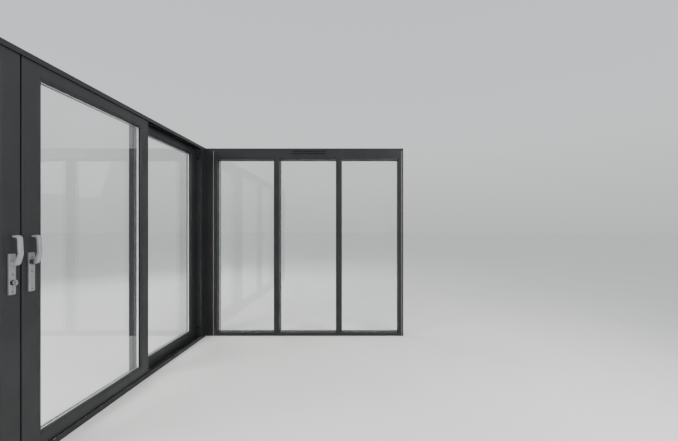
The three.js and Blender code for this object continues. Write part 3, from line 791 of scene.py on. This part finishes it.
def handle_plate(leaf, screw):
    low, high = extent(f"{leaf}_handle_plate")
    middle_y = handle_y(leaf)
    behind = LEAF_FACE + SHADE_SHIM.thickness
    # The black layer behind the plate, whose edge is painted shade along the plate's sides.
    shade_shim = handle_slab(leaf, "shade_shim", LEAF_FACE + FIT, behind, low.z + SHADE_SHIM.narrower,
                       high.z - SHADE_SHIM.narrower, SHADE_SHIM)
    place(shade_shim, NYLON, leaf, smooth=35)
    plate = handle_slab(leaf, "plate", behind, PLATE_FRONT, low.z, high.z, PLATE)
    boss_face = PLATE_FRONT + BOSS.proud
    boss = handle_slab(leaf, "boss", PLATE_FRONT - BOSS.root, boss_face, BOSS.bottom,
                       BOSS.top, BOSS)
    # On leaf B a dark nylon block under the boss is painted shade there.
    if leaf == "leaf_b":
        shade_block = handle_slab(leaf, "shade_block", PLATE_FRONT + FIT, PLATE_FRONT + SHADE_BLOCK.proud,
                           SHADE_BLOCK.bottom, SHADE_BLOCK.top, SHADE_BLOCK)
        place(shade_block, SHADE_BLOCK_NYLON, leaf, smooth=35)
    else:
        carve(plate, rod("recess", (PLATE_FRONT, middle_y, TURN_Z), TURN_RECESS.radius,
                         TURN_RECESS.depth, 0))
    heads = []
    for z in PLATE_SCREWS[leaf]:
        piece, face = (boss, boss_face) if z > BOSS.bottom else (plate, PLATE_FRONT)
        carve(piece, rod("sink", (face, middle_y, z), SINK.radius, SINK.depth, 0, 28))
        heads.append((face - SINK.screw_down, middle_y, z))
    for part in (plate, boss):
        place(part, DULL_SILVER, leaf, smooth=35, replaces=[f"{leaf}_handle_plate"])
    collar(leaf)
    place(copies(f"{leaf}_plate_screws", screw, heads, (1, 0, 0)), OXIDISED, leaf)


def collar(leaf):
    """The bush round the lever's neck: a thin metal one on leaf A, and on B a thick one of dark
    nylon, which is painted shade under B's boss.
    """
    reach = COLLAR_REACH[leaf]
    bush = rod(f"{leaf}_collar", (PLATE_FRONT + FIT + reach / 2, handle_y(leaf), SPINDLE_Z),
               COLLAR.radius, reach, 0, 40)
    pick(bush, "FACE", facing(0, 1))
    inset(COLLAR.rim, COLLAR.step)
    round_all(bush, COLLAR.round)
    place(bush, SHADE_BLOCK_NYLON if leaf == "leaf_b" else SILVER, leaf, smooth=35)


def thumbturn():
    """A flat oval grip on a round stem, in a round recess of leaf A's plate that is lined with a
    black cup, as painted shade behind the grip.
    """
    middle = Vector((PLATE_FRONT, handle_y("leaf_a"), TURN_Z))

    def out(shape):
        return middle + Vector((shape.out, 0, 0))

    # Black cup in the recess: painted shade behind the grip.
    cup = rod("leaf_a_turn_cup", out(TURN_CUP), TURN_CUP.radius, TURN_CUP.length, 0)
    round_all(cup, TURN_CUP.round)
    place(cup, NYLON, "leaf_a")
    stem = rod("leaf_a_turn_stem", out(TURN_STEM), TURN_STEM.radius, TURN_STEM.length, 0)
    pick(stem, "FACE", facing(0, 1))
    inset(TURN_STEM.rim)
    extrude(TURN_STEM.step, 0, 0)
    round_all(stem, TURN_STEM.round)
    place(stem, NICKEL, "leaf_a", replaces=["leaf_a_thumbturn"])
    grip = rod("leaf_a_turn_grip", (0, 0, 0), 1, TURN_GRIP.width, 1, 40)
    bpy.ops.transform.resize(value=(TURN_GRIP.half_out, 1, TURN_GRIP.half_tall),
                             center_override=(0, 0, 0))
    bpy.ops.transform.translate(value=out(TURN_GRIP) * MM)
    bpy.ops.object.transform_apply()
    for side in (1, -1):
        pick(grip, "FACE", facing(1, side))
        inset(TURN_GRIP.rim)
        bpy.ops.transform.translate(value=(0, -side * TURN_GRIP.dish * MM, 0))
    round_all(grip, TURN_GRIP.round, 3)
    place(grip, DULL_SILVER, "leaf_a", smooth=40, replaces=["leaf_a_thumbturn"])


# Outside of leaf A: the cylinder's key side, and a dished finger pull with a flange

KEY = Sizes(radius=8.5, round=0.5, half_slot=(0.8, 4.2), deep=1.5)
PULL = Sizes(flange=3, corner=9, gap=0.4, wall=2.5, bottom=0.5, taper=(1, 0.86, 0.96),
             round=0.7)


def key_side():
    low, high = extent("leaf_a_key_cylinder")
    middle = (low + high) / 2
    face = rod("leaf_a_key_face", middle, KEY.radius, high.x - low.x, 0, 40)
    round_edges(face, KEY.round, 2, lambda at, line: at.x < low.x + MERGE)
    half = Vector((0, *KEY.half_slot))
    outside = Vector((low.x, middle.y, middle.z))
    carve(face, block("keyway", outside - half - Vector((1, 0, 0)),
                      outside + half + Vector((KEY.deep, 0, 0))))
    place(face, NICKEL, "leaf_a", replaces=["leaf_a_key_cylinder"])


def finger_pull():
    low, high = extent("leaf_a_flush_pull")
    lap = Vector((0, PULL.flange, PULL.flange))
    back = LEAF_BACK - FIT
    depth = high.x - back
    pull = block("leaf_a_pull_dish", low - lap, Vector((back, high.y, high.z)) + lap)
    round_edges(pull, PULL.corner, 6, along(0))
    pick(pull, "FACE", facing(0, 1))
    inset(PULL.flange + PULL.gap)
    extrude(depth, 0, 0)
    pick(pull, "FACE", facing(0, -1, lambda at: at.x < low.x + MERGE))
    inset(PULL.flange + PULL.gap + PULL.wall)
    extrude(depth - PULL.bottom, 0, 0)
    bpy.ops.transform.resize(value=PULL.taper, center_override=(low + high) / 2 * MM)
    round_all(pull, PULL.round, 3)
    place(pull, STEEL, "leaf_a", smooth=40, replaces=["leaf_a_flush_pull"])


# Lock: face plate on leaf A and keep on leaf B, with slots, screws and hook bolts

LOCK_SLOTS = (520, 1075, 1630)
HALF_SLOT = (4.5, 26)     # along X and Z
STRIP_SCREWS = (380, 660, 935, 1215, 1490, 1770)
STRIP_SCREW_OUT = 0.2
STRIP_CORNER = 4
POCKET = Sizes(wider=1, thick=0.5, corner=1.5)
NOSE = Sizes(half=2.5, depth=(1.6, 0.4), z=(-16, 12), tip=5, slope=0.6, round=0.35)


def edge_plate(node_name, body, out, screw):
    """out is the way the plate faces along Y."""
    low, high = extent(node_name)
    name = node_name.replace("plate", "strip")
    half = Vector((HALF_SLOT[0], 0, HALF_SLOT[1]))
    margin = Vector((POCKET.wider, 0, POCKET.wider))
    face, back = (high.y, low.y) if out > 0 else (low.y, high.y)
    strip = block(name, low, high)
    round_edges(strip, STRIP_CORNER, 4, along(1))
    for z in LOCK_SLOTS:
        middle = Vector((INNER_FIN, (low.y + high.y) / 2, z))
        through = half + Vector((0, high.y - low.y, 0))
        carve(strip, block("slot", middle - through, middle + through))
    place(strip, STEEL, body, replaces=[node_name])
    for number, z in enumerate(LOCK_SLOTS, 1):
        middle = Vector((INNER_FIN, back + out * POCKET.thick / 2, z))
        reach = half + margin + Vector((0, POCKET.thick / 2, 0))
        pocket = block(f"{name}_pocket_{number}", middle - reach, middle + reach)
        round_edges(pocket, POCKET.corner, 2, along(1))
        place(pocket, NYLON, body)
    heads = [(INNER_FIN, face + out * STRIP_SCREW_OUT, z) for z in STRIP_SCREWS]
    place(copies(f"{name}_screws", screw, heads, (0, out, 0)), STEEL, body)


def hook_bolts():
    """The hooks' noses, drawn back into leaf A behind the slots of its strip."""
    face = extent("leaf_a_lock_plate")[1].y
    back, front = [face - behind for behind in NOSE.depth]
    for number, z in enumerate(LOCK_SLOTS, 1):
        bottom, top = [z + way for way in NOSE.z]
        nose = block(f"leaf_a_hook_{number}", (INNER_FIN - NOSE.half, back, bottom),
                     (INNER_FIN + NOSE.half, front, top))
        draw_out(nose, (0, 0, NOSE.tip), facing(2, 1))
        shift_edges(nose, (0, -NOSE.slope, 0), lambda at, line: (
            at.z > top + NOSE.tip - MERGE and at.y > front - MERGE))
        round_all(nose, NOSE.round)
        place(nose, NICKEL, "leaf_a")


# Weather seals and interlocks of the sliding leaves

SEAL_STRIPS = ((1, 15), (38, 14))         # room-side edge behind the leaf's face, and width
SEAL = Sizes(base=1.1, fin=2, fin_out=1.9, fin_margin=0.5, short=1, round=0.3)
BRUSH = Sizes(backing=1.2, margin=0.9, clear=0.6, round=0.2)
FLANGE_BRUSHES = {"head": (2101, 2107), "sill": (28, 34)}
FLANGE = 4                # thickness of the room-side flanges
HOOK = Sizes(leg=1.5, lip=1.5, reach=5.5, panel_reach=6.8, length=10, from_edge=4, lap=6,
             short=4, round=0.3)
HOOK_BRUSH = Sizes(from_leg=(3, 8), out=2.2)


def meeting_seals():
    """Two finned rubber strips on each meeting edge, in front of and behind the lock. Their
    near-black colour is painted shade deep in the gap between the leaves.
    """
    for leaf, edge, out in zip(LEAVES, MEETING, (1, -1)):
        for number, (behind, width) in enumerate(SEAL_STRIPS, 1):
            start = LEAF_FACE - behind
            strip = block(f"{leaf}_meeting_seal_{number}",
                          (start - width, edge + out * FIT, LEAF_BOTTOM + SEAL.short),
                          (start, edge + out * SEAL.base, LEAF_TOP - SEAL.short))
            last = width - SEAL.fin - SEAL.fin_margin
            fins = [(start - at - SEAL.fin, start - at)
                    for at in (SEAL.fin_margin, (width - SEAL.fin) / 2, last)]
            slice_at(strip, 0, *[side for fin in fins for side in fin])
            draw_out(strip, (0, out * SEAL.fin_out, 0), facing(1, out, lambda at: any(
                fin[0] < at.x < fin[1] for fin in fins)))
            round_all(strip, SEAL.round)
            place(strip, SHADE_SEAL_RUBBER, leaf)


def brush(name, foot, tip, out, low, high):
    """A weather brush on the frame: a woven backing with a narrower pile that stands on it.
    foot and tip are places along X, and low and high corners in Y and Z."""
    strip = block(name, (foot, *low), (foot + out * BRUSH.backing, *high))
    pick(strip, "FACE", facing(0, out))
    inset(BRUSH.margin, abs(tip - foot) - BRUSH.backing)
    round_all(strip, BRUSH.round)
    place(strip, PILE)


def flange_brushes():
    """Between the room-side flanges and the sliding leaves, at head and sill."""
    for bar, (bottom, top) in FLANGE_BRUSHES.items():
        brush(f"{bar}_brush", ROOM_FACE - FLANGE - FIT, LEAF_FACE + BRUSH.clear, -1,
              (OPENING[0] + END_GAP, bottom), (OPENING[1] - END_GAP, top))


def interlock(leaf, panel, edge, out):
    """Two long aluminium hooks that catch each other when the leaf is closed. out is the way
    from the meeting edge to the fixed panel along Y."""
    ends = (LEAF_BOTTOM + HOOK.short, LEAF_TOP - HOOK.short)

    def hook(name, body, face, towards, leg_at, lip_way, reach):
        """towards is the way it stands out along X, and lip_way the way its lip points."""
        piece = block(name, (face + towards * FIT, leg_at, ends[0]),
                      (face + towards * reach, leg_at + lip_way * HOOK.leg, ends[1]))
        inner = face + towards * (reach - HOOK.lip)
        slice_at(piece, 0, inner)
        draw_out(piece, (0, lip_way * (HOOK.length - HOOK.leg), 0),
                 facing(1, lip_way, lambda at: (at.x - inner) * towards > 0))
        round_all(piece, HOOK.round)
        place(piece, SASH_COAT, body)

    leg = edge - out * HOOK.from_edge
    hook(f"{leaf}_hook_bar", leaf, LEAF_BACK, -1, leg, -out, HOOK.reach)
    panel_leg = leg - out * (HOOK.length + HOOK.lap)
    hook(f"{panel}_hook_bar", "frame", PANEL_FACE, 1, panel_leg, out, HOOK.panel_reach)
    sides = [leg - out * away for away in HOOK_BRUSH.from_leg]
    brush(f"{panel}_interlock_brush", PANEL_FACE + FIT, PANEL_FACE + HOOK_BRUSH.out, 1,
          (sides[0], ends[0]), (sides[1], ends[1]))


# Side sill and head: rail cap, fixing screws, drain inserts, buffers and screw caps

RAIL_TOP = 30
RAIL_CAP = Sizes(width=9.6, thickness=0.8, wall=0.68, leg=9, round=0.3)
FIXINGS = (-1476.5, -776.5, -76.5, 623.5, 1323.5)
FIXING_Z = {"sill": 10.3, "head": TOP - 14.3}
DRAINS = 7
DRAIN = Sizes(first=-1636.5, pitch=520, length=31.6, bottom=11.2, top=16.8, front=0.4, back=6.5,
              slots=5, rim=0.8, deep=4)
BUFFER_Z = {"low": 130, "high": 1990}
BUFFER = Sizes(radius=9, length=8, rim=2.5, slope=2, deep=3, round=0.8)
JAMB_CAPS = (200, 750, 1300, 1850)
ROLLER_HOLE = 46          # above the leaf's bottom


def rail_cap():
    """A stainless strip folded over the inner rail, for the leaves' rollers."""
    half, thickness = RAIL_CAP.width / 2, RAIL_CAP.thickness
    cap = block("rail_cap", (INNER_FIN - half, OPENING[0] + END_GAP, RAIL_TOP + FIT),
                (INNER_FIN + half, OPENING[1] - END_GAP, RAIL_TOP + FIT + thickness))
    slice_at(cap, 0, INNER_FIN - half + RAIL_CAP.wall, INNER_FIN + half - RAIL_CAP.wall)
    draw_out(cap, (0, 0, -RAIL_CAP.leg),
             facing(2, -1, lambda at: abs(at.x - INNER_FIN) > half - thickness))
    round_all(cap, RAIL_CAP.round)
    place(cap, STEEL)


def track_screws(screw):
    """In the fixing holes of sill and head, between the two tracks."""
    for bar, way in (("sill", 1), ("head", -1)):
        heads = [(BETWEEN_TRACKS, y, FIXING_Z[bar]) for y in FIXINGS]
        place(copies(f"{bar}_screws", screw, heads, (0, 0, way)), STEEL)


def drain_inserts():
    """A slatted black insert in each drainage slot, a little behind the outer face."""
    half = DRAIN.length / 2
    insert = block("drain", (OUTER_FACE + DRAIN.front, -half, DRAIN.bottom),
                   (OUTER_FACE + DRAIN.back, half, DRAIN.top))
    slice_at(insert, 1, *[-half + DRAIN.length * slot / DRAIN.slots
                          for slot in range(1, DRAIN.slots)])
    pick(insert, "FACE", facing(0, -1))
    inset(DRAIN.rim, each=True)
    extrude(DRAIN.deep, 0, 0)
    rows = [(0, DRAIN.first + DRAIN.pitch * number, 0) for number in range(DRAINS)]
    place(copies("drain_inserts", insert, rows), NYLON)
    bpy.data.objects.remove(insert)


def buffers():
    """A rubber stop low and high on each jamb, for a leaf that is pushed fully open."""
    for name, edge, out in JAMBS:
        for level, z in BUFFER_Z.items():
            middle_y = edge + out * (BUFFER.length / 2 + FIT)
            stop = rod(f"{name}_{level}_buffer", (INNER_FIN, middle_y, z), BUFFER.radius,
                       BUFFER.length, 1)
            pick(stop, "FACE", facing(1, out))
            inset(BUFFER.rim)
            inset(BUFFER.slope, -BUFFER.deep)
            round_all(stop, BUFFER.round, 3)
            place(stop, BUFFER_RUBBER, smooth=40)


def jamb_caps(cap):
    for name, edge, out in JAMBS:
        rows = [(BETWEEN_TRACKS, edge + out * FIT, z) for z in JAMB_CAPS]
        place(copies(f"{name}_jamb_caps", cap, rows, (0, out, 0)), NYLON)


def roller_caps(cap):
    """Over the holes in the leaves' outer edges, through which the rollers are adjusted."""
    for leaf, edge, out in zip(LEAVES, OUTER_EDGES, (-1, 1)):
        rows = [(INNER_FIN, edge + out * FIT, LEAF_BOTTOM + ROLLER_HOLE)]
        place(copies(f"{leaf}_roller_cap", cap, rows, (0, out, 0)), NYLON, leaf)


# Vent inside, its canopy outside. Each part's front and back, or inner and outer, are how far
# its faces are from those of the vent or the canopy

VENT_BAR_TOP = 2086
VENT_RIB = Sizes(pitch=8, thickness=1.4, height=9.5, end=7, foot=1.2, front=1.5, back=3.4)
# The black sheet behind and under the ribs is painted shade that closes the vent's slot.
VENT_SHADE_SHEET = Sizes(end=5.2, front=4.4, back=3.1, below_top=0.6, sole=1, reach=8.5)
VENT_SLIDE = Sizes(half=17, bottom=2073.5, top=2082.5, out=2.6, ridge_out=0.9, round=0.35)
RIDGES = ((2, 4), (7, 9))     # from the slide's middle, both ways
VENT_SCREW = Sizes(end=14, z=2078, out=0.2)
CANOPY_CAP = Sizes(end=0.4, thick=2, inner=2.5, outer=2.8, below_top=2.9, slope=5.2,
                   round=0.3)
GUARD = Sizes(pitch=7.9, bar=1.6, thick=1, end=3, inner=2.6, outer=2.9, below_top=20)


def vent_grille():
    """Ribs that stand in the vent's slot, behind its bar, and a black sheet behind and under
    them, painted shade in the slot.
    """
    start, bottom = VENT_LOW.x + VENT_RIB.end, VENT_BAR_TOP + FIT
    count = int((VENT_HIGH.x - VENT_LOW.x - 2 * VENT_RIB.end) / VENT_RIB.pitch)
    foot = bottom + VENT_RIB.foot
    rib = block("vent_grille", (start, VENT_LOW.y + VENT_RIB.front, bottom),
                (start + VENT_RIB.thickness, VENT_HIGH.y - VENT_RIB.back,
                 VENT_BAR_TOP + VENT_RIB.height))
    slice_at(rib, 2, foot)
    draw_out(rib, (VENT_RIB.pitch - VENT_RIB.thickness, 0, 0),
             facing(0, 1, lambda at: at.z < foot))
    repeat(rib, count, VENT_RIB.pitch,
           lambda at, line: at.z < foot and abs(line.x) > SQUARE)
    place(rib, NYLON)
    # Black sheet: painted shade at the back of the slot.
    shade_sheet = block("vent_shade_sheet",
                  (VENT_LOW.x + VENT_SHADE_SHEET.end, VENT_HIGH.y - VENT_SHADE_SHEET.front, bottom),
                  (VENT_HIGH.x - VENT_SHADE_SHEET.end, VENT_HIGH.y - VENT_SHADE_SHEET.back,
                   VENT_HIGH.z - VENT_SHADE_SHEET.below_top))
    sole = VENT_BAR_TOP + VENT_SHADE_SHEET.sole
    slice_at(shade_sheet, 2, sole)
    draw_out(shade_sheet, (0, -VENT_SHADE_SHEET.reach, 0), facing(1, -1, lambda at: at.z < sole))
    place(shade_sheet, NYLON)


def vent_slide():
    """The thumb piece that opens and closes the vent, and its short ridges."""
    middle, half = (VENT_LOW.x + VENT_HIGH.x) / 2, VENT_SLIDE.half
    slide = block("vent_slide",
                  (middle - half, VENT_LOW.y - VENT_SLIDE.out, VENT_SLIDE.bottom),
                  (middle + half, VENT_LOW.y - FIT, VENT_SLIDE.top))
    slice_at(slide, 0, *sorted(middle + side * end for ridge in RIDGES for end in ridge
                               for side in (-1, 1)))
    draw_out(slide, (0, -VENT_SLIDE.ridge_out, 0), facing(1, -1, lambda at: any(
        start < abs(at.x - middle) < end for start, end in RIDGES)))
    round_all(slide, VENT_SLIDE.round)
    place(slide, VENT_NYLON)


def vent_screws(screw):
    heads = [(x, VENT_LOW.y - VENT_SCREW.out, VENT_SCREW.z)
             for x in (VENT_LOW.x + VENT_SCREW.end, VENT_HIGH.x - VENT_SCREW.end)]
    place(copies("vent_screws", screw, heads, (0, -1, 0)), OXIDISED)


def canopy_ends():
    """A cap in each open end of the canopy, its top edge sloped as the hood is."""
    outer, top = CANOPY_HIGH.y - CANOPY_CAP.outer, CANOPY_HIGH.z - CANOPY_CAP.below_top
    for name, x in (("left", CANOPY_LOW.x + CANOPY_CAP.end),
                    ("right", CANOPY_HIGH.x - CANOPY_CAP.end - CANOPY_CAP.thick)):
        cap = block(f"canopy_{name}_cap",
                    (x, CANOPY_LOW.y + CANOPY_CAP.inner, CANOPY_LOW.z + FIT),
                    (x + CANOPY_CAP.thick, outer, top))
        shift_edges(cap, (0, 0, -CANOPY_CAP.slope),
                    lambda at, line: at.z > top - MERGE and at.y > outer - MERGE)
        round_all(cap, CANOPY_CAP.round)
        place(cap, VENT_NYLON)


def canopy_guard():
    """The insect guard across the canopy's open underside, one slotted strip."""
    start = CANOPY_LOW.x + GUARD.end
    ends = (start, start + GUARD.pitch)
    bottom = CANOPY_HIGH.z - GUARD.below_top
    guard = ring("canopy_guard", (start, CANOPY_LOW.y + GUARD.inner, bottom),
                 (ends[1], CANOPY_HIGH.y - GUARD.outer, bottom + GUARD.thick), 2,
                 GUARD.bar)
    count = int((CANOPY_HIGH.x - CANOPY_LOW.x - 2 * GUARD.end) / GUARD.pitch)
    repeat(guard, count, GUARD.pitch,
           lambda at, line: min(abs(at.x - end) for end in ends) < MERGE)
    place(guard, NYLON)


# End screen: a pale bead down each jamb as a painted highlight, and the plugs in the sunk ends

BEAD = Sizes(from_edge=18, width=5, front=0.9, back=0.05, round=0.7)
WALL = 4
JAMB_SINKS = Sizes(across=(8, 44), room=51, back=55)      # from the jamb's outer corner
PLUG = Sizes(gap=0.4, depth=12, rim=2.5, hollow=6)


# A pale bead down each end jamb is a painted highlight on the dark frame.
def jamb_highlight_bead():
    front = END_FACE - BEAD.front
    for name, x in (("left", extent("end_left_jamb")[0].x + BEAD.from_edge),
                    ("right", extent("end_right_jamb")[1].x - BEAD.from_edge)):
        bead = block(f"{name}_jamb_highlight_bead", (x - BEAD.width / 2, front, END_GAP),
                     (x + BEAD.width / 2, END_FACE - BEAD.back, CEILING_LINE))
        round_edges(bead, BEAD.round, 3, lambda at, line: at.y < front + MERGE)
        place(bead, HIGHLIGHT_BEAD, smooth=50)


def end_plugs():
    """A ribbed nylon plug in each sunk end of the corner post and the end jambs."""
    post_low, post_high = extent("corner_post")
    sunk = {"post_side": ((post_low.x + WALL, post_low.y + WALL),
                          (ROOM_FACE - WALL, post_high.y - WALL)),
            "post_end": ((ROOM_FACE, END_FACE + WALL),
                         (post_high.x - WALL, post_high.y - WALL))}
    for name, out in (("end_left_jamb", 1), ("end_right_jamb", -1)):
        low, high = extent(name)
        outer = low.x if out > 0 else high.x
        left, right = sorted(outer + out * across for across in JAMB_SINKS.across)
        sunk[f"{name}_room"] = ((left, low.y + WALL), (right, low.y + JAMB_SINKS.room))
        sunk[f"{name}_back"] = ((left, low.y + JAMB_SINKS.back), (right, high.y - WALL))
    gap = PLUG.gap
    for name, (corner_low, corner_high) in sunk.items():
        for level, z, up in (("top", TOP, 1), ("bottom", 0, -1)):
            plug = block(
                f"{name}_{level}_plug", (corner_low[0] + gap, corner_low[1] + gap, z - up * gap),
                (corner_high[0] - gap, corner_high[1] - gap, z - up * (PLUG.depth - gap)))
            thirds = [corner_low[0] + (corner_high[0] - corner_low[0]) * n / 3 for n in (1, 2)]
            slice_at(plug, 0, *thirds)
            pick(plug, "FACE", facing(2, up))
            inset(PLUG.rim, each=True)
            extrude(0, 0, -up * PLUG.hollow)
            place(plug, NYLON)


# Build

set_camera()
dress_frame()
glaze()
small_screw = screw_model(3.5)
track_screw = screw_model(5.5)
cap = cap_model()
for leaf in LEAVES:
    lever(leaf)
    handle_plate(leaf, small_screw)
thumbturn()
key_side()
finger_pull()
edge_plate("leaf_a_lock_plate", "leaf_a", 1, small_screw)
edge_plate("leaf_b_keep_plate", "leaf_b", -1, small_screw)
hook_bolts()
meeting_seals()
flange_brushes()
interlock("leaf_a", "near_panel", OUTER_EDGES[0], -1)
interlock("leaf_b", "far_panel", OUTER_EDGES[1], 1)
rail_cap()
track_screws(track_screw)
drain_inserts()
buffers()
jamb_caps(cap)
roller_caps(cap)
vent_grille()
vent_slide()
vent_screws(small_screw)
canopy_ends()
canopy_guard()
jamb_highlight_bead()
end_plugs()
for model in (small_screw, track_screw, cap):
    bpy.data.objects.remove(model)


# Floor and light

FLOOR = 180000
DOME = ((0, "#cccdcd"), (0.25, "#e3e5e7"), (0.9, "#d3d9de"))    # from the horizon up
DOME_STRENGTH = 1.1


def lay_floor():
    select_only()
    bpy.ops.mesh.primitive_plane_add(size=FLOOR * MM)
    ground = settle("floor")
    ground.data.materials.append(coated("sealed_screed", pale_floor))


def soft_light(name, at, aim, size, power, mirrored=False):
    """A large soft lamp that no camera sees. Only a mirrored one gives metal its highlights."""
    lamp = bpy.data.lights.new(name, "AREA")
    lamp.shape = "RECTANGLE"
    lamp.size, lamp.size_y = size[0] * MM, size[1] * MM
    lamp.energy = power
    holder = bpy.data.objects.new(name, lamp)
    holder.location = Vector(at) * MM
    holder.rotation_euler = (Vector(aim) - Vector(at)).to_track_quat("-Z", "Y").to_euler()
    holder.visible_camera = False
    holder.visible_transmission = False
    holder.visible_glossy = mirrored
    bpy.context.scene.collection.objects.link(holder)


def light_studio():
    """A pale dome that meets the floor's tone at the horizon, a key, a fill and a small side
    light in the room, and two soft lights outside."""
    world = bpy.data.worlds.new("studio")
    bpy.context.scene.world = world
    world.use_nodes = True
    tree = world.node_tree
    at = node(tree, "TexCoord", {}, "Generated")
    height = node(tree, "SeparateXYZ", {"Vector": at}, "Z")
    dome = node(tree, "ValToRGB", {"Fac": height}, stops=DOME)
    fill(tree, tree.nodes["Background"], {"Color": dome, "Strength": DOME_STRENGTH})
    soft_light("key", (3400, -900, 2700), (-700, 300, 900), (2200, 1600), 135, mirrored=True)
    soft_light("fill", (300, -5200, 3600), (-400, 900, 900), (3200, 2400), 55)
    soft_light("side", (-300, -2700, 1600), (-1040, -80, 1080), (900, 900), 46)
    soft_light("outside_near", (-5200, -3600, 4200), (-1100, -100, 600), (4000, 3000), 400)
    soft_light("outside_far", (-4200, 5200, 4200), (-600, 800, 700), (4000, 3000), 160)


lay_floor()
light_studio()
